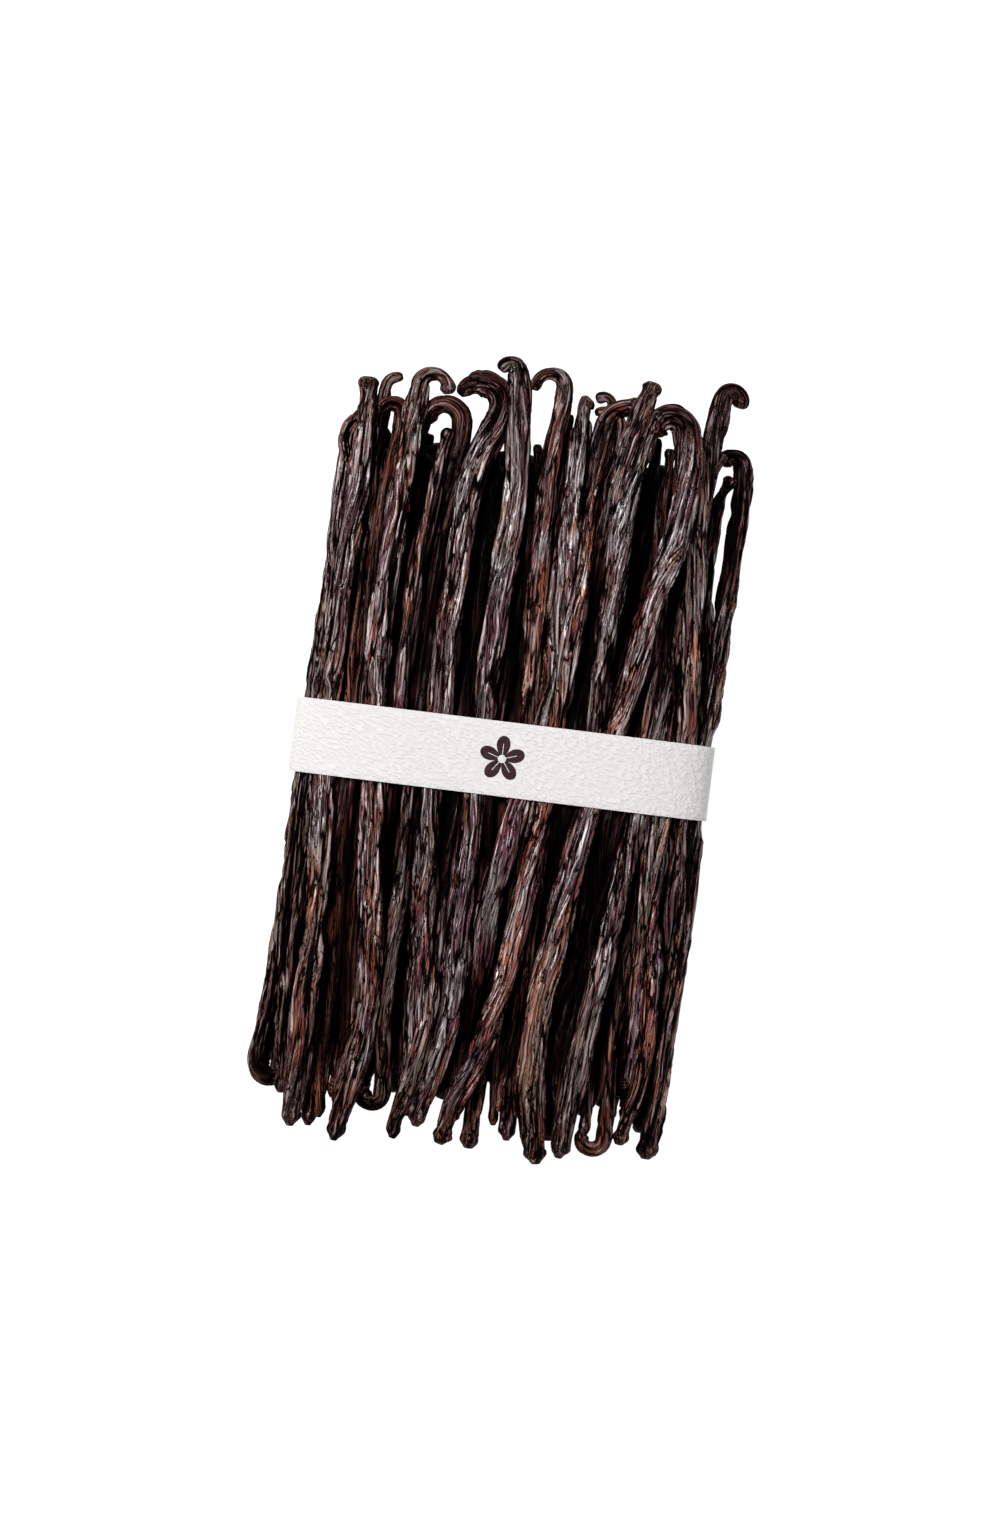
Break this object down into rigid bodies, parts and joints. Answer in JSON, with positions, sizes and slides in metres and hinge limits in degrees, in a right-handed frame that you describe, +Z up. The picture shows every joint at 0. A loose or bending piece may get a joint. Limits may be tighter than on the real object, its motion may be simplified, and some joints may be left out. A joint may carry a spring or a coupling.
{
  "type": "bundle of vanilla pods",
  "caption": "Flat bundle of cured vanilla pods with hooked heads, held round the middle by a plain strip of textured paper.",
  "frame": {"origin": "under the middle of the bundle, on the surface it rests on", "axes": "+X along the paper band, +Y along the pods towards their hooked heads, +Z up from the surface"},
  "size_m": [0.0898, 0.168, 0.0302],
  "materials": {
    "pod_skin": "oily, wrinkled, dark brown to black",
    "paper": "textured off-white paper"
  },
  "bodies": {
    "root": {"pods": "pod_skin", "band": "paper"}
  },
  "joints": []
}
